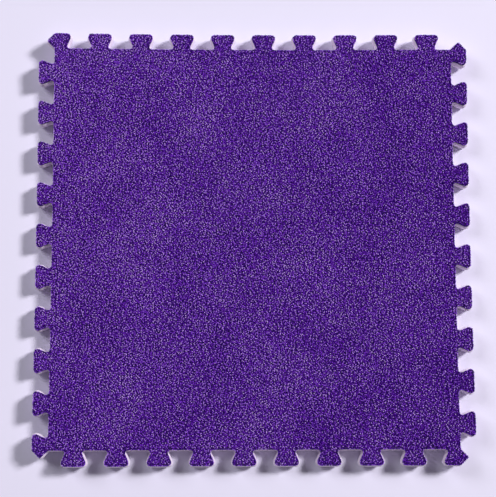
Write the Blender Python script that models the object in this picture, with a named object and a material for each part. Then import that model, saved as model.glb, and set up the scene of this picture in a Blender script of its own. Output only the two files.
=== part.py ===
"""A square interlocking floor mat: an EVA foam slab with a short cut pile bonded to its top.

The mat is die-cut from one bonded sheet, so its four layers share one outline. Each side carries a row
of dovetail tabs, and each corner carries a tab with a 45 degree point. The outline repeats under a
quarter turn, so any side of one mat locks into any side of another, and the four points at a meeting
of four mats fill the square between their bodies.

Units are metres and +Z is up. The origin is the centre of the underside.
"""

import math

import bpy
from mathutils import Matrix, Vector

# The outline
BODY_SIDE = 0.300  # the square without its tabs
TAB_PITCH = 0.031  # centre to centre along a side
TABS_PER_SIDE = 9  # full dovetails, besides the corner tab
TAB_REACH = 0.0117  # from the body's edge to a tab's end face
HEAD_WIDTH = 0.0204  # a tab at its end face, before its corners are rounded
NECK_WIDTH = 0.0100  # a tab where it leaves the body, before its corners are rounded
HEAD_RADIUS = 0.0024
ROOT_RADIUS = 0.0021
POINT_RADIUS = 0.0005
SEGMENTS_PER_TURN = 9  # facets that a full circle would have

# A mat turned to face this one has its tabs half a pitch along, which fixes where the row starts.
FIRST_TAB = (BODY_SIDE - (TABS_PER_SIDE - 1.5) * TAB_PITCH) / 2

# The layers, from the floor up, with a bond-line gap between neighbours
FOAM_THICKNESS = 0.0090
FILM_THICKNESS = 0.0003
BACKING_THICKNESS = 0.0007
PILE_HEIGHT = 0.0021
LAYER_GAP = 0.0003


def clear_scene():
    for obj in list(bpy.data.objects):
        bpy.data.objects.remove(obj, do_unlink=True)


def make_material(name, color, roughness, sheen=0.0):
    """A non-metallic Principled surface."""
    material = bpy.data.materials.new(name)
    material.use_nodes = True
    shader = material.node_tree.nodes["Principled BSDF"]
    shader.inputs["Base Color"].default_value = (*color, 1.0)
    shader.inputs["Roughness"].default_value = roughness
    shader.inputs["Metallic"].default_value = 0.0
    shader.inputs["Sheen Weight"].default_value = sheen
    material.diffuse_color = (*color, 1.0)
    return material


def dovetail_corners(centre):
    """A tab's corners and their radii, left to right, with the body's edge along X and the tab in +Y."""
    return [
        (Vector((centre - NECK_WIDTH / 2, 0.0)), ROOT_RADIUS),
        (Vector((centre - HEAD_WIDTH / 2, TAB_REACH)), HEAD_RADIUS),
        (Vector((centre + HEAD_WIDTH / 2, TAB_REACH)), HEAD_RADIUS),
        (Vector((centre + NECK_WIDTH / 2, 0.0)), ROOT_RADIUS),
    ]


def corner_tab_corners():
    """The tab at the start of a side: a 45 degree point over the body's corner, then a dovetail's far half."""
    body_corner = (Vector((0.0, 0.0)), 0.0)
    point = (Vector((-TAB_REACH / 2, TAB_REACH / 2)), POINT_RADIUS)
    shoulder = (Vector((0.0, TAB_REACH)), POINT_RADIUS)
    return [body_corner, point, shoulder] + dovetail_corners(FIRST_TAB - TAB_PITCH)[2:]


def rounded(corner, before, after, radius):
    """The arc that rounds this corner, or the corner itself if it stays sharp."""
    if radius == 0.0:
        return [corner]
    towards_before = (before - corner).normalized()
    towards_after = (after - corner).normalized()
    half_angle = towards_before.angle(towards_after) / 2
    centre = corner + (towards_before + towards_after).normalized() * (radius / math.sin(half_angle))
    start = corner + towards_before * (radius / math.tan(half_angle)) - centre
    end = corner + towards_after * (radius / math.tan(half_angle)) - centre
    turn = math.atan2(start.x * end.y - start.y * end.x, start.dot(end))
    steps = max(1, math.ceil(abs(turn) / math.tau * SEGMENTS_PER_TURN))
    return [centre + Matrix.Rotation(turn * i / steps, 2) @ start for i in range(steps + 1)]


def mat_outline():
    """The whole outline, clockwise from the corner at -X +Y, as one side turned four times."""
    side = corner_tab_corners()
    for i in range(TABS_PER_SIDE):
        side += dovetail_corners(FIRST_TAB + i * TAB_PITCH)
    body_corner = Vector((-BODY_SIDE / 2, BODY_SIDE / 2))
    corners = []
    for quarter in range(4):
        turn = Matrix.Rotation(-quarter * math.pi / 2, 2)
        corners += [(turn @ (body_corner + point), radius) for point, radius in side]
    points = []
    for i, (corner, radius) in enumerate(corners):
        before = corners[i - 1][0]
        after = corners[(i + 1) % len(corners)][0]
        points += rounded(corner, before, after, radius)
    return points


def make_layer(name, outline, bottom, thickness, material, collection):
    """A flat plate with the mat's outline, its underside at the given height."""
    curve = bpy.data.curves.new(name, "CURVE")
    curve.dimensions = "2D"
    curve.fill_mode = "BOTH"
    curve.extrude = thickness / 2
    spline = curve.splines.new("POLY")
    spline.points.add(len(outline) - 1)
    for spline_point, point in zip(spline.points, outline):
        spline_point.co = (point.x, point.y, 0.0, 1.0)
    spline.use_cyclic_u = True
    curve.materials.append(material)
    layer = bpy.data.objects.new(name, curve)
    layer.location = (0.0, 0.0, bottom + thickness / 2)
    collection.objects.link(layer)
    return layer


def build_mat():
    collection = bpy.data.collections.new("interlocking_mat")
    bpy.context.scene.collection.children.link(collection)
    foam = make_material("foam", (0.82, 0.80, 0.84), 0.75)
    film = make_material("bond_film", (0.70, 0.66, 0.74), 0.45)
    backing = make_material("backing_cloth", (0.055, 0.018, 0.155), 0.90)
    pile = make_material("cut_pile", (0.083, 0.026, 0.235), 0.95, sheen=0.3)
    stack = [
        ("foam_base", FOAM_THICKNESS, foam),
        ("adhesive_film", FILM_THICKNESS, film),
        ("pile_backing", BACKING_THICKNESS, backing),
        ("plush_pile", PILE_HEIGHT, pile),
    ]
    outline = mat_outline()
    bottom = 0.0
    for name, thickness, material in stack:
        make_layer(name, outline, bottom, thickness, material, collection)
        bottom += thickness + LAYER_GAP


clear_scene()
build_mat()
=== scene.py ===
"""The finished look of an interlocking plush-topped foam mat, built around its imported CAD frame.

The CAD layers give the outline and the heights. Each is replaced by finer pieces: a die-cut foam slab with
an embossed underside, the bond film, the knitted backing, and the pile, which is a dense bed with cut tufts
and stray fibres standing on it. Units are metres and +Z is up.
"""

import math

import bpy
import numpy as np
from mathutils import Matrix, Vector, kdtree, noise
from mathutils.geometry import delaunay_2d_cdt


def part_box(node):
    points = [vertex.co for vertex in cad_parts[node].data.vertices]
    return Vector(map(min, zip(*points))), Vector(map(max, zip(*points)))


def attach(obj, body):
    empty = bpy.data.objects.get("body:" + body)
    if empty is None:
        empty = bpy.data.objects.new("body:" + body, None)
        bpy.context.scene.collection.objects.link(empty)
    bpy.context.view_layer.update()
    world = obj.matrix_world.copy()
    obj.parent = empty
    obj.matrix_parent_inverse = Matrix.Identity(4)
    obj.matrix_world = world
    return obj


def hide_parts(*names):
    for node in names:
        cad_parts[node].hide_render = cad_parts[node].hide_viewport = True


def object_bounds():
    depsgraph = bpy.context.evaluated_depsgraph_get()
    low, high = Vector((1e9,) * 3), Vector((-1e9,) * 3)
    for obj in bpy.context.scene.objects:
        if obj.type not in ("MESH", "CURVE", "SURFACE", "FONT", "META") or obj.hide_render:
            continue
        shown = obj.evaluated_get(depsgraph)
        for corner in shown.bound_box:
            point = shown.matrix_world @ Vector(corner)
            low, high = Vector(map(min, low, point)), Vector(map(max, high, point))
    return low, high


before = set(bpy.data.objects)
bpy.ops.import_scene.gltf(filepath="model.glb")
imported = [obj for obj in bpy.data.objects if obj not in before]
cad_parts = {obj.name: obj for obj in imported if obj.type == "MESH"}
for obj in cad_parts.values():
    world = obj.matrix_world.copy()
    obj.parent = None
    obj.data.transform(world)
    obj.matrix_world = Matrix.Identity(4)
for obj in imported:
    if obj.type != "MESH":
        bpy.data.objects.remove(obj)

CAD_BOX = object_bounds()
MM = 0.001

# The cut edge
OUTLINE_STEP = 0.25 * MM  # spacing of the smooth outline's points
OUTLINE_SOFTNESS = 0.45 * MM  # how far the die rounds a facet or a corner
WALL_STRIDE = 3  # outline points between two columns of a wall
FOAM_FOOT = 0.45 * MM  # how far the foam's foot stands out past the pile
FOAM_BULGE = 1.05 * MM  # how far its wall does where it is fullest
FOAM_RIM = 0.38 * MM  # and how far its upper rim does
FULLEST = 0.72  # where the wall is fullest, as a share of its height
CAP_PITCH = 9 * MM  # spacing of the points across a layer's two large faces
CURL = 4 * MM  # how far the mat's corners have lifted

# The pile
TUFT_PITCH = 1.04 * MM
TUFT_ROW = 0.88  # row spacing, as a share of the pitch
TUFT_JITTER = 0.24  # of the pitch
TUFT_POINTS = 4
TUFT_RADIUS = 0.60 * MM
TUFT_CLEFT = 0.42  # how far the clefts between a tuft's points reach in, as a share of its radius
TUFT_UNEVEN = 0.34 * MM  # how much the tufts' heights differ
TUFT_LOWEST = 0.9 * MM  # how far below the pile's top the lowest tuft ends
TUFT_STRIPS = 9
PAINTED_DEPTH_SHADE = 0.8 * MM  # painted shade: over how much depth below the pile's top each tuft goes from a dark root to a light tip
EDGE_PITCH = 0.86 * MM
EDGE_INSET = 0.38 * MM  # from the cut edge to the row of tufts that follows it
EDGE_BAND = 1.3 * MM  # how far in from the cut edge the tufts lean out
EDGE_LEAN = 0.22 * MM
EDGE_DROOP = 0.15 * MM
BED_DEPTH = 1.3 * MM  # from the pile's top down to its dense foot
SHADE_SPREAD = 0.48  # how unlike the tufts are, from 0 to 1
UNLIKENESS = 0.85  # how far a tuft's shade is kept away from its neighbours'
PAINTED_EDGE_SHADE = 0.42  # the mean shade of the row at the cut edge, darker than the 0.5 inside: painted shade where the pile turns over the edge
NAP_LEAN = 0.16 * MM
NAP_BEARING = 2.4  # the way that the pile leans on the whole, in radians
NAP_PATCH = 45 * MM  # the size of an area that was brushed one way
PAINTED_LIGHT_AND_NAP_TONE = 0.09  # painted light: how much lighter the pile is coloured on the side that looks brighter under the lights, which also sets how much its brushed patches differ
PAINTED_LIT_SIDE = (-1.2, 0.5)  # that side, painted lighter in place of light: mostly the left, and a little the back
STRAY_FIBRES = 24000
STRAY_WIDTH = 0.14 * MM
EDGE_FIBRES_PER_MM = 2.6
EDGE_FIBRE_WIDTH = 0.20 * MM

# The underside
PIP_PITCH = 6.0 * MM
PIP_LENGTH = 3.6 * MM
PIP_WIDTH = 1.5 * MM
PIP_HEIGHT = 0.35 * MM

# The view, with bearings anticlockwise from +X
CAMERA_AZIMUTH = 259.61
CAMERA_ELEVATION = 82.12
CAMERA_DISTANCE = 0.9515
CAMERA_LENS = 92.9  # in millimetres, on a sensor 36 mm wide
CAMERA_TARGET = (-4.62 * MM, -2.26 * MM)  # on the pile's top

# The softboxes: bearing, elevation, distance, side, irradiance, and color
SOFTBOXES = {
    "key_softbox": (24.0, 42.0, 5.0, 0.98, 3.20, (1.0, 0.99, 0.985)),
    "fill_softbox": (145.0, 40.0, 4.0, 1.67, 1.22, (0.97, 0.97, 1.0)),
    "front_softbox": (268.0, 14.0, 3.0, 1.6, 0.12, (1.0, 0.98, 1.0)),
}
AMBIENT = 0.105
FLOOR_FADE = (1.0, 2.6)  # how far out the floor starts to fade into the backdrop, and ends
FLOOR_REACH = 2.7  # from the middle of the floor to each of its sides

random = np.random.default_rng(20)


# ---- outline --------------------------------------------------------------------------------------


def cad_outline(node):
    """The outline of a flat CAD layer, as points in order, anticlockwise from above."""
    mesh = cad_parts[node].data
    mesh.calc_loop_triangles()
    points = np.array([v.co for v in mesh.vertices])
    places, place_of = np.unique(points.round(6), axis=0, return_inverse=True)
    place_of = place_of.ravel()
    top = places[:, 2].max()
    edges = set()
    for triangle in mesh.loop_triangles:
        a, b, c = (int(place_of[v]) for v in triangle.vertices)
        if min(places[a, 2], places[b, 2], places[c, 2]) > top - 0.01 * MM:
            edges.update([(a, b), (b, c), (c, a)])
    following = {a: b for a, b in edges if (b, a) not in edges}
    order = [min(following)]
    while following[order[-1]] != order[0]:
        order.append(following[order[-1]])
    return places[order, :2]


def resampled(loop, spacing):
    """The closed loop as points at an even spacing."""
    closed = np.vstack([loop, loop[:1]])
    run = np.concatenate([[0.0], np.cumsum(np.linalg.norm(np.diff(closed, axis=0), axis=1))])
    at = np.linspace(0.0, run[-1], round(run[-1] / spacing), endpoint=False)
    return np.column_stack([np.interp(at, run, closed[:, axis]) for axis in (0, 1)])


def softened(loop, steps):
    """The closed loop with each point averaged with its neighbours, over about that many points."""
    reach = range(-math.ceil(3 * steps), math.ceil(3 * steps) + 1)
    weights = [math.exp(-0.5 * (k / steps) ** 2) for k in reach]
    return sum(w * np.roll(loop, k, axis=0) for k, w in zip(reach, weights)) / sum(weights)


def outward(loop):
    """The outward unit normal at each point of an anticlockwise loop."""
    along = np.roll(loop, -1, axis=0) - np.roll(loop, 1, axis=0)
    normal = np.column_stack([along[:, 1], -along[:, 0]])
    return normal / np.linalg.norm(normal, axis=1, keepdims=True)


def grain(points, size, seed=0.0):
    """Smooth noise from about -1 to 1 at each point, with features of that size."""
    placed = np.asarray(points, float) / size + seed
    if placed.shape[1] == 2:
        placed = np.column_stack([placed, np.full(len(placed), 0.37 + seed)])
    return np.array([noise.noise(p) for p in placed.tolist()])


# ---- meshes ---------------------------------------------------------------------------------------


def curl(points):
    """How far the mat has lifted at each point: not at all in the middle, and most at the corners."""
    reach = (CAD_BOX[1] - CAD_BOX[0]) / 2
    return CURL * (points[:, 0] / reach.x) ** 2 * (points[:, 1] / reach.y) ** 2


def add_piece(name, vertices, polygons, material, replaces=()):
    """A mesh piece that rides on the mat. Each entry of polygons is an array of faces of one size."""
    vertices = vertices + np.outer(curl(vertices), (0.0, 0.0, 1.0))
    mesh = bpy.data.meshes.new(name)
    sizes = np.concatenate([np.full(len(p), p.shape[1]) for p in polygons])
    corners = np.concatenate([p.ravel() for p in polygons])
    mesh.vertices.add(len(vertices))
    mesh.vertices.foreach_set("co", vertices.astype(np.float32).ravel())
    mesh.loops.add(len(corners))
    mesh.loops.foreach_set("vertex_index", corners.astype(np.int32))
    mesh.polygons.add(len(sizes))
    mesh.polygons.foreach_set("loop_start", (np.cumsum(sizes) - sizes).astype(np.int32))
    mesh.update(calc_edges=True)
    mesh.shade_smooth()
    mesh.materials.append(material)
    piece = bpy.data.objects.new(name, mesh)
    bpy.context.scene.collection.objects.link(piece)
    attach(piece, "root")
    if replaces:
        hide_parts(*replaces)
    return piece


def set_float(piece, name, values):
    """Stores a number at each vertex, for the materials to read."""
    attribute = piece.data.attributes.new(name, "FLOAT", "POINT")
    attribute.data.foreach_set("value", np.asarray(values, np.float32))


class Cap:
    """How a large face is divided: points inside the outline, and triangles over them and the outline."""

    def __init__(self, loop, edge):
        low = loop.min(axis=0)
        high = loop.max(axis=0)
        inside = staggered_grid(low, high, CAP_PITCH, 0.87, 0.0).reshape(-1, 2)
        depth, _ = edge.read(inside)
        self.inside = inside[depth > CAP_PITCH / 3]
        points = [Vector(p) for p in np.vstack([loop, self.inside]).tolist()]
        outline = list(range(len(loop)))
        found = delaunay_2d_cdt(points, [], [outline], 1, 0.001 * MM)
        first_source = [sources[0] for sources in found[3]]
        self.triangles = np.array([[first_source[corner] for corner in face] for face in found[2]])


def plate(loop, normal, profile, ripple, cap):
    """Vertices and faces of a closed plate. profile is (height, inset) from the bottom up, and ripple
    takes a ring's points and its height, and gives how far each stands out of line."""
    rings = []
    for height, inset in profile:
        line = loop - normal * inset
        ring = np.column_stack([line, np.full(len(line), height)])
        out = ripple(ring)
        ring[:, :2] += normal * out[:, None]
        rings.append(ring)
    count = len(loop)
    here = np.arange(count)
    after = np.roll(here, -1)
    quads = [
        np.column_stack([here, after, after + count, here + count]) + level * count
        for level in range(len(rings) - 1)
    ]
    total = count * len(rings)
    inner = len(cap.inside)
    on_rim = cap.triangles < count
    bottom = np.where(on_rim, cap.triangles, cap.triangles + total - count)[:, ::-1]
    top = np.where(on_rim, cap.triangles + total - count, cap.triangles + total - count + inner)
    floors = [np.column_stack([cap.inside, np.full(inner, profile[end][0])]) for end in (0, -1)]
    return np.vstack(rings + floors), [np.vstack(quads), np.vstack([bottom, top])]


def flat_caps(piece):
    """Shades the two large faces of a plate flat, so that they don't tilt the rim's shading."""
    for polygon in piece.data.polygons:
        if polygon.loop_total == 3:
            polygon.use_smooth = False


# ---- materials ------------------------------------------------------------------------------------


class Look:
    """A Principled material with short ways to add procedural nodes."""

    def __init__(self, name, roughness):
        self.material = bpy.data.materials.new(name)
        self.material.use_nodes = True
        self.tree = self.material.node_tree
        self.shader = self.tree.nodes["Principled BSDF"]
        self.shader.inputs["Roughness"].default_value = roughness
        self.place = self.tree.nodes.new("ShaderNodeTexCoord").outputs["Object"]

    def wire(self, source, target):
        """Links a node's output to an input, or sets the input to a number."""
        if isinstance(source, (int, float)):
            target.default_value = source
        else:
            self.tree.links.new(source, target)

    def noise(self, size, detail=2.0):
        node = self.tree.nodes.new("ShaderNodeTexNoise")
        node.inputs["Scale"].default_value = 1.0 / size
        node.inputs["Detail"].default_value = detail
        self.wire(self.place, node.inputs["Vector"])
        return node.outputs["Fac"]

    def cells(self, size):
        node = self.tree.nodes.new("ShaderNodeTexVoronoi")
        node.inputs["Scale"].default_value = 1.0 / size
        self.wire(self.place, node.inputs["Vector"])
        return node.outputs["Distance"]

    def attribute(self, name):
        node = self.tree.nodes.new("ShaderNodeAttribute")
        node.attribute_name = name
        return node.outputs["Fac"]

    def math(self, operation, a, b=0.0, c=0.0):
        node = self.tree.nodes.new("ShaderNodeMath")
        node.operation = operation
        for source, target in zip((a, b, c), node.inputs):
            self.wire(source, target)
        return node.outputs["Value"]

    def span(self, value, low, high, to_low, to_high):
        node = self.tree.nodes.new("ShaderNodeMapRange")
        for source, key in (
            (value, "Value"),
            (low, "From Min"),
            (high, "From Max"),
            (to_low, "To Min"),
            (to_high, "To Max"),
        ):
            self.wire(source, node.inputs[key])
        return node.outputs["Result"]

    def ramp(self, value, stops):
        node = self.tree.nodes.new("ShaderNodeValToRGB")
        elements = node.color_ramp.elements
        while len(elements) < len(stops):
            elements.new(0.5)
        for element, (position, color) in zip(elements, stops):
            element.position = position
            element.color = (*color, 1.0)
        self.wire(value, node.inputs["Fac"])
        return node.outputs["Color"]

    def bump(self, height, distance, strength):
        node = self.tree.nodes.new("ShaderNodeBump")
        node.inputs["Distance"].default_value = distance
        node.inputs["Strength"].default_value = strength
        self.wire(height, node.inputs["Height"])
        self.wire(node.outputs["Normal"], self.shader.inputs["Normal"])

    def color(self, source):
        self.wire(source, self.shader.inputs["Base Color"])

    def rough(self, source):
        self.wire(source, self.shader.inputs["Roughness"])


def foam_look():
    """Closed-cell foam: pale, faintly mottled, with fine cut cells."""
    look = Look("foam", 0.7)
    cloud = look.noise(6 * MM, 3.0)
    cell = look.cells(0.45 * MM)
    tone = look.math("MULTIPLY_ADD", cloud, 0.6, look.math("MULTIPLY", cell, 0.35))
    look.color(look.ramp(tone, [(0.15, (0.76, 0.64, 0.82)), (0.75, (0.84, 0.74, 0.89))]))
    look.rough(look.span(cloud, 0.3, 0.7, 0.62, 0.78))
    look.bump(cell, 0.08 * MM, 0.6)
    look.shader.inputs["Sheen Weight"].default_value = 0.08
    return look.material


def film_look():
    """The bond line: a milky hot-melt film that took up a little of the pile's dye."""
    look = Look("bond_film", 0.35)
    smear = look.noise(1.6 * MM, 3.0)
    look.color(look.ramp(smear, [(0.35, (0.52, 0.44, 0.62)), (0.65, (0.82, 0.76, 0.86))]))
    look.rough(look.span(smear, 0.3, 0.7, 0.28, 0.5))
    look.bump(smear, 0.1 * MM, 0.5)
    return look.material


def backing_look():
    """The knitted ground of the pile fabric, seen along its cut edge."""
    look = Look("backing_cloth", 0.9)
    loops = look.cells(0.5 * MM)
    cloud = look.noise(4 * MM)
    tone = look.math("MULTIPLY_ADD", loops, 0.7, look.math("MULTIPLY", cloud, 0.4))
    look.color(look.ramp(tone, [(0.15, (0.13, 0.06, 0.27)), (0.8, (0.035, 0.010, 0.10))]))
    look.rough(look.span(cloud, 0.3, 0.7, 0.82, 0.95))
    look.bump(loops, 0.15 * MM, 0.7)
    look.shader.inputs["Sheen Weight"].default_value = 0.2
    return look.material


def bed_look():
    """The shaded depth of the pile, between the tufts."""
    look = Look("pile_bed", 0.95)
    strand = look.noise(0.5 * MM, 2.0)
    look.color(look.ramp(strand, [(0.3, (0.014, 0.000, 0.060)), (0.7, (0.050, 0.004, 0.170))]))
    look.rough(look.span(strand, 0.3, 0.7, 0.9, 1.0))
    look.bump(strand, 0.2 * MM, 0.8)
    return look.material


def pile_look():
    """Cut pile: every tuft has its own shade, partly its own tone and partly painted sheen and shade; tips
    are painted lighter than roots as painted shade of the pile's depth; and the nap varies softly.
    """
    look = Look("cut_pile", 0.6)
    shade = look.attribute("shade")
    tip = look.attribute("tip")
    speck = look.noise(0.30 * MM, 1.0)
    nap = look.noise(38 * MM, 2.0)
    # Painted shade: the tip value makes each tuft darker towards its root and lighter at its top.
    tone = look.math("MULTIPLY_ADD", shade, 0.75, look.math("MULTIPLY", tip, 0.30))
    tone = look.math("ADD", tone, look.span(speck, 0.3, 0.7, -0.12, 0.12))
    tone = look.math("ADD", tone, look.span(nap, 0.3, 0.7, -0.05, 0.05))
    # The ramp runs from near-black violet to pale lilac: the pale, greyer end is painted sheen on the
    # lightest tufts, and the dark end is partly painted shade between them, over the pile's own violet.
    look.color(
        look.ramp(
            tone,
            [
                (0.0, (0.010, 0.000, 0.120)),
                (0.3, (0.078, 0.001, 0.350)),
                (0.55, (0.228, 0.031, 0.700)),
                (0.8, (0.450, 0.200, 0.890)),
                (1.0, (0.715, 0.490, 0.970)),
            ],
        )
    )
    look.rough(look.span(speck, 0.3, 0.7, 0.45, 0.75))
    look.bump(speck, 0.06 * MM, 0.5)
    shader = look.shader
    shader.inputs["Specular IOR Level"].default_value = 0.06
    shader.inputs["Sheen Weight"].default_value = 0.03
    shader.inputs["Sheen Roughness"].default_value = 0.4
    shader.inputs["Sheen Tint"].default_value = (0.65, 0.40, 1.0, 1.0)
    return look.material


# ---- the layers under the pile --------------------------------------------------------------------


def ease(share):
    """Rises smoothly from 0 to 1 as share does."""
    return 0.5 - 0.5 * math.cos(math.pi * share)


def foam_reach(share):
    """How far the foam's wall stands out past the pile, from its foot (0) to its neck (1)."""
    if share < FULLEST:
        return FOAM_FOOT + (FOAM_BULGE - FOAM_FOOT) * ease(share / FULLEST)
    return FOAM_RIM + (FOAM_BULGE - FOAM_RIM) * ease((1.0 - share) / (1.0 - FULLEST))


def build_slab(loop, normal, cap, low, high, foam):
    """The foam: the bonded cloth draws its upper rim in, its wall is full, and its rims are rounded."""
    bottom = low + PIP_HEIGHT
    foot = bottom + 0.90 * MM
    neck = high - 0.70 * MM
    profile = [
        (bottom, 0.55 * MM - FOAM_FOOT),
        (bottom + 0.02 * MM, 0.42 * MM - FOAM_FOOT),
        (bottom + 0.14 * MM, 0.18 * MM - FOAM_FOOT),
        (bottom + 0.40 * MM, 0.03 * MM - FOAM_FOOT),
    ]
    levels = 12
    for level in range(levels + 1):
        share = level / levels
        profile.append((foot + (neck - foot) * share, -foam_reach(share)))
    profile += [
        (high - 0.25 * MM, 0.02 * MM - FOAM_RIM),
        (high, 0.14 * MM - FOAM_RIM),
        (high + 0.08 * MM, 0.40 * MM - FOAM_RIM),
        (high + 0.08 * MM, 0.60 * MM),
    ]

    def ripple(ring):
        return 0.07 * MM * grain(ring, 5 * MM, 3.1) + 0.045 * MM * grain(ring, 0.9 * MM, 7.7)

    vertices, faces = plate(loop, normal, profile, ripple, cap)
    flat_caps(add_piece("foam_slab", vertices, faces, foam, ["foam_base"]))


def build_film(loop, normal, cap, low, high, film):
    """The bond line between foam and cloth, with an uneven edge where the melt stopped."""
    profile = [
        (low, 0.65 * MM),
        (low + 0.04 * MM, 0.14 * MM),
        ((low + high) / 2, 0.05 * MM),
        (high - 0.04 * MM, 0.14 * MM),
        (high, 0.65 * MM),
    ]

    def ripple(ring):
        return 0.10 * MM * grain(ring, 1.7 * MM, 1.3)

    vertices, faces = plate(loop, normal, profile, ripple, cap)
    flat_caps(add_piece("bond_line", vertices, faces, film, ["adhesive_film"]))


def build_backing(loop, normal, cap, low, high, cloth):
    """The knitted ground cloth, whose cut edge shows as small loops."""
    profile = [
        (low, 0.60 * MM),
        (low + 0.05 * MM, 0.16 * MM),
        (low + 0.30 * MM, 0.02 * MM),
        (low + 0.60 * MM, 0.02 * MM),
        (high - 0.05 * MM, 0.16 * MM),
        (high, 0.60 * MM),
    ]

    def ripple(ring):
        return 0.12 * MM * grain(ring, 0.55 * MM, 5.9) + 0.05 * MM * grain(ring, 3 * MM, 2.2)

    vertices, faces = plate(loop, normal, profile, ripple, cap)
    flat_caps(add_piece("knit_backing", vertices, faces, cloth, ["pile_backing"]))


def build_bed(loop, normal, cap, low, high, bed):
    """The dense foot of the pile, which the tufts stand in."""
    profile = [
        (low, 0.70 * MM),
        (low + 0.05 * MM, 0.28 * MM),
        (low + 0.45 * MM, 0.16 * MM),
        (low + 0.85 * MM, 0.18 * MM),
        (high - 0.05 * MM, 0.40 * MM),
        (high, 0.90 * MM),
    ]

    def ripple(ring):
        across = ring.copy()
        across[:, 2] *= 0.25
        return 0.16 * MM * grain(across, 0.6 * MM, 4.4)

    vertices, faces = plate(loop, normal, profile, ripple, cap)
    flat_caps(add_piece("pile_bed", vertices, faces, bed, ["plush_pile"]))


# ---- the outline as a field -----------------------------------------------------------------------


class EdgeField:
    """Answers how far a point lies inside the outline, and which way out is."""

    def __init__(self, loop, normal):
        self.loop = loop
        self.normal = normal
        self.tree = kdtree.KDTree(len(loop))
        for index, (x, y) in enumerate(loop.tolist()):
            self.tree.insert((x, y, 0.0), index)
        self.tree.balance()

    def read(self, points):
        """(depth inside the outline, outward direction) at each point."""
        nearest = [self.tree.find((x, y, 0.0))[1] for x, y in points.tolist()]
        away = points - self.loop[nearest]
        out = self.normal[nearest]
        depth = np.linalg.norm(away, axis=1)
        depth *= np.where((away * out).sum(axis=1) < 0, 1.0, -1.0)
        return depth, out


# ---- the pile -------------------------------------------------------------------------------------


def staggered_grid(low, high, pitch, row, jitter):
    """Points in staggered rows between two corners, each moved a little at random."""
    columns = np.arange(low[0], high[0], pitch)
    rows = np.arange(low[1], high[1], pitch * row)
    x, y = np.meshgrid(columns, rows)
    x = x + (np.arange(len(rows)) % 2)[:, None] * pitch / 2
    points = np.stack([x, y], axis=2)
    return points + random.uniform(-jitter, jitter, points.shape) * pitch


def unlike_neighbours(shape):
    """A random shade for each place of a grid, from about 0 to 1, that differs from those beside it."""
    shade = random.normal(0.0, 1.0, shape)
    around = sum(np.roll(shade, step, axis) for step in (-1, 1) for axis in (0, 1)) / 4
    shade = shade - UNLIKENESS * around
    return 0.5 + SHADE_SPREAD * shade / shade.std()


def tuft_places(loop, normal, edge):
    """Where the tufts stand, and their shades. One row follows the cut edge, and the rest fill the inside."""
    edge_loop = resampled(loop - normal * EDGE_INSET, EDGE_PITCH)
    edge_loop = edge_loop + random.uniform(-0.12, 0.12, edge_loop.shape) * MM
    # Painted shade: the row along the cut edge is a little darker on average.
    edge_shade = random.normal(PAINTED_EDGE_SHADE, SHADE_SPREAD, len(edge_loop))
    inside = staggered_grid(loop.min(axis=0), loop.max(axis=0), TUFT_PITCH, TUFT_ROW, TUFT_JITTER)
    shade = unlike_neighbours(inside.shape[:2]).ravel()
    inside = inside.reshape(-1, 2)
    depth, _ = edge.read(inside)
    kept = depth > EDGE_INSET + 0.62 * TUFT_PITCH
    places = np.vstack([edge_loop, inside[kept]])
    shades = np.concatenate([edge_shade, shade[kept]])
    # Painted light: the tufts are coloured lighter towards the left and back, where the pile looks brighter
    # under the lights; the brushed patches add tone at random.
    toward_lit_side = places @ PAINTED_LIT_SIDE / (2 * CAD_BOX[1].x)
    return places, shades + PAINTED_LIGHT_AND_NAP_TONE * toward_lit_side + 0.8 * PAINTED_LIGHT_AND_NAP_TONE * grain(places, NAP_PATCH, 23.0)


def nap_lean(points):
    """How far each tuft's top leans, from the way that the pile was brushed."""
    angle = NAP_BEARING + 1.1 * grain(points, NAP_PATCH, 11.0)
    amount = NAP_LEAN * (1.0 + 0.6 * grain(points, NAP_PATCH / 2, 17.0))
    return np.column_stack([np.cos(angle), np.sin(angle)]) * amount[:, None]


def tuft_vertices(centres, depth, out, root, top):
    """Each tuft's vertices, as (tufts, ring + 2, 3): a root, a ring of points and clefts, and a middle."""
    count = len(centres)
    lobes = 2 * TUFT_POINTS
    cleft = np.arange(lobes) % 2
    turn = random.uniform(0, math.tau, (count, 1)) + np.arange(lobes) * math.tau / lobes
    turn = turn + random.uniform(-0.25, 0.25, (count, lobes))
    radius = TUFT_RADIUS * random.uniform(0.75, 1.15, (count, lobes)) * (1.0 - TUFT_CLEFT * cleft)
    near_edge = np.clip(1.0 - depth / EDGE_BAND, 0.0, 1.0)
    lean = nap_lean(centres) + random.normal(0.0, 0.12 * MM, (count, 2))
    lean = lean * (1.0 - near_edge)[:, None] + out * (near_edge * EDGE_LEAN)[:, None]
    height = top - np.abs(random.normal(0.0, TUFT_UNEVEN, count)) - near_edge * EDGE_DROOP
    height = np.maximum(height, top - TUFT_LOWEST)
    vertices = np.zeros((count, lobes + 2, 3))
    vertices[:, 0, :2] = centres - lean * 0.3
    vertices[:, 0, 2] = root
    vertices[:, 1:-1, 0] = (centres[:, 0] + lean[:, 0])[:, None] + radius * np.cos(turn)
    vertices[:, 1:-1, 1] = (centres[:, 1] + lean[:, 1])[:, None] + radius * np.sin(turn)
    sunk = random.uniform(0.0, 0.35, (count, lobes)) + 0.45 * cleft
    vertices[:, 1:-1, 2] = height[:, None] - sunk * MM
    vertices[:, -1, :2] = centres + lean + random.uniform(-0.12, 0.12, (count, 2)) * MM
    vertices[:, -1, 2] = height - random.uniform(0.10, 0.45, count) * MM
    return vertices


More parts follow.
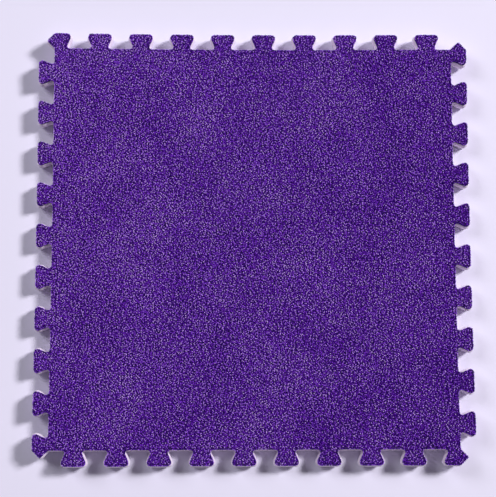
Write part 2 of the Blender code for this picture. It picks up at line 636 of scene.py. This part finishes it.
def tuft_faces(count):
    """Triangles of that many tufts: the flared sides, then the crowns."""
    lobes = 2 * TUFT_POINTS
    first = (np.arange(count) * (lobes + 2))[:, None]
    here = np.arange(1, lobes + 1)[None, :]
    after = np.roll(np.arange(1, lobes + 1), -1)[None, :]
    sides = np.stack([first + here * 0, first + after, first + here], axis=2)
    crowns = np.stack([first + lobes + 1 + here * 0, first + here, first + after], axis=2)
    return sides.reshape(-1, 3), crowns.reshape(-1, 3)


def tuft_map(piece, count):
    """A texture layout with one square cell for each tuft: the crown inside, the sides around it."""
    lobes = 2 * TUFT_POINTS
    across = math.ceil(math.sqrt(count))
    cell = np.column_stack([np.arange(count) % across, np.arange(count) // across]) + 0.5
    turn = np.arange(lobes) * math.tau / lobes
    ring = np.column_stack([np.cos(turn), np.sin(turn)]) * 0.28
    halfway = turn + math.pi / lobes
    rim = np.column_stack([np.cos(halfway), np.sin(halfway)]) * 0.46
    after = np.roll(ring, -1, axis=0)
    side = np.stack([rim, after, ring], axis=1)
    crown = np.stack([np.zeros_like(ring), ring, after], axis=1)
    sides = cell[:, None, None, :] + side[None]
    crowns = cell[:, None, None, :] + crown[None]
    layout = np.concatenate([sides.reshape(-1, 2), crowns.reshape(-1, 2)]) / across
    layer = piece.data.uv_layers.new(name="OFBake")
    layer.data.foreach_set("uv", layout.astype(np.float32).ravel())


def build_tufts(places, shades, edge, root, top, pile):
    """The cut tufts, in strips from front to back so that no piece grows too large."""
    order = np.argsort(places[:, 1], kind="stable")
    for number, strip in enumerate(np.array_split(order, TUFT_STRIPS), start=1):
        centres = places[strip]
        depth, out = edge.read(centres)
        vertices = tuft_vertices(centres, depth, out, root, top)
        count = len(centres)
        sides, crowns = tuft_faces(count)
        name = f"pile_tufts_{number}"
        piece = add_piece(name, vertices.reshape(-1, 3), [sides, crowns], pile)
        tuft_map(piece, count)
        shade = np.clip(shades[strip], 0.0, 1.0)
        # Painted shade: the tip value rises from 0 deep in the pile to 1 at its top, for a darker root and a
        # lighter tip.
        tip = np.clip((vertices[:, :, 2] - (top - PAINTED_DEPTH_SHADE)) / PAINTED_DEPTH_SHADE, 0.0, 1.0)
        set_float(piece, "shade", np.repeat(shade, 2 * TUFT_POINTS + 2))
        set_float(piece, "tip", tip.ravel())


def spikes(name, base, tip, width, shade, pile):
    """Thin closed three-sided spikes from base to tip, as one piece."""
    count = len(base)
    along = tip - base
    along /= np.linalg.norm(along, axis=1, keepdims=True)
    side = np.cross(along, random.normal(0.0, 1.0, (count, 3)))
    side /= np.linalg.norm(side, axis=1, keepdims=True)
    other = np.cross(along, side)
    corners = []
    for third in range(3):
        turn = math.tau * third / 3
        corners.append(base + (side * math.cos(turn) + other * math.sin(turn)) * width / 2)
    vertices = np.stack([*corners, tip], axis=1).reshape(-1, 3)
    first = (np.arange(count) * 4)[:, None, None]
    shape = np.array([(0, 1, 3), (1, 2, 3), (2, 0, 3), (2, 1, 0)])[None]
    piece = add_piece(name, vertices, [(first + shape).reshape(-1, 3)], pile)
    set_float(piece, "shade", np.repeat(shade, 4))
    # Painted shade: each fibre is coloured darker at its base and lighter at its tip.
    set_float(piece, "tip", np.tile([0.3, 0.3, 0.3, 1.0], count))


def build_stray_fibres(loop, edge, top, pile):
    """Single fibres that stand out of the pile's top at odd angles."""
    points = random.uniform(loop.min(axis=0), loop.max(axis=0), (STRAY_FIBRES * 2, 2))
    depth, _ = edge.read(points)
    points = points[depth > 0.5 * MM][:STRAY_FIBRES]
    count = len(points)
    base = np.column_stack([points, np.full(count, top - 0.55 * MM)])
    turn = random.uniform(0, math.tau, count)
    reach = random.uniform(0.25, 0.75, count) * MM
    rise = random.uniform(0.35, 0.70, count) * MM
    tip = base + np.column_stack([np.cos(turn) * reach, np.sin(turn) * reach, rise])
    # Painted light: the stray fibres standing above the pile are coloured lighter on the whole, for the light
    # they catch.
    shade = random.uniform(0.35, 0.85, count)
    spikes("pile_stray_fibres", base, tip, STRAY_WIDTH, shade, pile)


def build_edge_fibres(loop, normal, low, top, pile):
    """Cut fibres along the edge of the pile, leaning out over the foam."""
    count = round(len(loop) * OUTLINE_STEP / MM * EDGE_FIBRES_PER_MM)
    at = random.integers(0, len(loop), count)
    height = random.uniform(low + 0.1 * MM, top - 0.6 * MM, count)
    base = np.column_stack([loop[at] - normal[at] * 0.30 * MM, height])
    reach = random.uniform(0.25, 0.62, count) * MM
    along = np.column_stack([-normal[at, 1], normal[at, 0]])
    drift = random.uniform(-0.35, 0.35, count) * MM
    step = normal[at] * reach[:, None] + along * drift[:, None]
    rise = random.uniform(0.25, 0.9, count) * MM
    tip = base + np.column_stack([step, rise])
    tip[:, 2] = np.minimum(tip[:, 2], top - 0.1 * MM)
    # Painted shade: these fibres on the pile's cut side are coloured darker than the stray ones on top.
    shade = random.uniform(0.1, 0.6, count)
    spikes("pile_edge_fibres", base, tip, EDGE_FIBRE_WIDTH, shade, pile)


# ---- the underside --------------------------------------------------------------------------------


def build_underside_grip(loop, edge, floor, foam):
    """Low diamond pips moulded on the underside, which keep the mat from sliding."""
    pips = staggered_grid(loop.min(axis=0), loop.max(axis=0), PIP_PITCH, 0.5, 0.0).reshape(-1, 2)
    depth, _ = edge.read(pips)
    pips = pips[depth > PIP_LENGTH / 2 + 0.6 * MM]
    count = len(pips)
    diamond = np.array([(1, 0), (0, 1), (-1, 0), (0, -1)]) / 2 * (PIP_LENGTH, PIP_WIDTH)
    levels = [(floor, 0.62), (floor + 0.10 * MM, 0.86), (floor + PIP_HEIGHT + 0.1 * MM, 1.12)]
    rings = []
    for height, size in levels:
        flat = pips[:, None, :] + diamond[None] * size
        rings.append(np.concatenate([flat, np.full((count, 4, 1), height)], axis=2))
    vertices = np.concatenate(rings, axis=1).reshape(-1, 3)
    first = (np.arange(count) * 12)[:, None, None]
    shape = [(3, 2, 1, 0), (8, 9, 10, 11)]
    for level in (0, 4):
        for corner in range(4):
            after = (corner + 1) % 4
            shape.append((level + corner, level + after, level + after + 4, level + corner + 4))
    faces = (first + np.array(shape)[None]).reshape(-1, 4)
    add_piece("underside_grip", vertices, [faces], foam)


# ---- stage ----------------------------------------------------------------------------------------


def build_floor():
    """A plain pale floor, which fades into the backdrop a good way out."""
    look = Look("studio_floor", 1.0)
    cloud = look.noise(0.8)
    look.color(look.ramp(cloud, [(0.3, (0.780, 0.745, 0.910)), (0.7, (0.790, 0.755, 0.920))]))
    look.shader.inputs["Specular IOR Level"].default_value = 0.0
    outward_node = look.tree.nodes.new("ShaderNodeVectorMath")
    outward_node.operation = "LENGTH"
    look.wire(look.place, outward_node.inputs[0])
    fade = look.span(outward_node.outputs["Value"], *FLOOR_FADE, 1.0, 0.0)
    look.wire(fade, look.shader.inputs["Alpha"])
    mesh = bpy.data.meshes.new("studio_floor")
    far = FLOOR_REACH
    corners = [(-far, -far, 0), (far, -far, 0), (far, far, 0), (-far, far, 0)]
    mesh.from_pydata(corners, [], [(0, 1, 2, 3)])
    mesh.materials.append(look.material)
    floor = bpy.data.objects.new("studio_floor", mesh)
    floor.location.z = CAD_BOX[0].z
    bpy.context.scene.collection.objects.link(floor)


def direction(azimuth, elevation):
    """The unit vector towards a bearing anticlockwise from +X and a height above the floor, in degrees."""
    a = math.radians(azimuth)
    e = math.radians(elevation)
    return Vector((math.cos(a) * math.cos(e), math.sin(a) * math.cos(e), math.sin(e)))


def build_softbox(name, azimuth, elevation, distance, size, irradiance, color):
    """A square softbox aimed at the mat. irradiance is what it sends to a surface facing it."""
    data = bpy.data.lights.new(name, "AREA")
    data.shape = "SQUARE"
    data.size = size
    data.color = color
    data.energy = irradiance * math.pi * distance**2
    light = bpy.data.objects.new(name, data)
    towards = direction(azimuth, elevation)
    light.location = towards * distance
    light.rotation_euler = towards.to_track_quat("Z", "Y").to_euler()
    bpy.context.scene.collection.objects.link(light)


def build_lights():
    """A key softbox on the right, weaker ones on the left and in front, and even ambient light."""
    for name, setting in SOFTBOXES.items():
        build_softbox(name, *setting)
    world = bpy.data.worlds.new("studio_ambient")
    world.use_nodes = True
    tree = world.node_tree
    ambient = tree.nodes["Background"]
    ambient.inputs["Color"].default_value = (0.96, 0.95, 1.0, 1.0)
    ambient.inputs["Strength"].default_value = AMBIENT
    backdrop = tree.nodes.new("ShaderNodeBackground")
    backdrop.inputs["Color"].default_value = (0.72, 0.69, 0.82, 1.0)
    chooser = tree.nodes.new("ShaderNodeMixShader")
    tree.links.new(tree.nodes.new("ShaderNodeLightPath").outputs["Is Camera Ray"], chooser.inputs["Fac"])
    tree.links.new(ambient.outputs["Background"], chooser.inputs[1])
    tree.links.new(backdrop.outputs["Background"], chooser.inputs[2])
    tree.links.new(chooser.outputs["Shader"], tree.nodes["World Output"].inputs["Surface"])
    bpy.context.scene.world = world


def build_camera():
    """A long lens almost straight above the mat, with the picture's right along +X."""
    data = bpy.data.cameras.new("camera")
    data.sensor_fit = "HORIZONTAL"
    data.sensor_width = 36.0
    data.lens = CAMERA_LENS
    data.clip_start = 0.05
    data.clip_end = 20.0
    camera = bpy.data.objects.new("camera", data)
    target = Vector((*CAMERA_TARGET, CAD_BOX[1].z))
    back = direction(CAMERA_AZIMUTH, CAMERA_ELEVATION)
    right = Vector((1.0, 0.0, 0.0))
    right = (right - right.dot(back) * back).normalized()
    up = back.cross(right)
    turn = Matrix((right, up, back)).transposed()
    camera.matrix_world = Matrix.Translation(target + back * CAMERA_DISTANCE) @ turn.to_4x4()
    bpy.context.scene.collection.objects.link(camera)
    bpy.context.scene.camera = camera


def build_mat():
    """Every piece of the mat, from the floor up."""
    loop = resampled(cad_outline("foam_base"), OUTLINE_STEP)
    loop = resampled(softened(loop, OUTLINE_SOFTNESS / OUTLINE_STEP), OUTLINE_STEP)
    normal = outward(loop)
    wall_loop = loop[::WALL_STRIDE]
    wall_normal = normal[::WALL_STRIDE]
    edge = EdgeField(loop, normal)
    cap = Cap(wall_loop, edge)
    foam_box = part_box("foam_base")
    film_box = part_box("adhesive_film")
    backing_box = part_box("pile_backing")
    pile_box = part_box("plush_pile")
    film_low = (foam_box[1].z + film_box[0].z) / 2
    film_high = (film_box[1].z + backing_box[0].z) / 2
    pile_low = (backing_box[1].z + pile_box[0].z) / 2
    top = pile_box[1].z
    bed_high = top - BED_DEPTH

    foam = foam_look()
    pile = pile_look()
    build_slab(wall_loop, wall_normal, cap, foam_box[0].z, foam_box[1].z, foam)
    build_underside_grip(loop, edge, foam_box[0].z, foam)
    build_film(wall_loop, wall_normal, cap, film_low - 0.1 * MM, film_high, film_look())
    build_backing(wall_loop, wall_normal, cap, film_high, pile_low, backing_look())
    build_bed(wall_loop, wall_normal, cap, pile_low, bed_high, bed_look())
    places, shades = tuft_places(loop, normal, edge)
    build_tufts(places, shades, edge, pile_low + 0.05 * MM, top, pile)
    build_stray_fibres(loop, edge, top, pile)
    build_edge_fibres(loop, normal, pile_low, top, pile)


build_mat()
build_floor()
build_lights()
build_camera()
bpy.context.scene.view_settings.view_transform = "Standard"
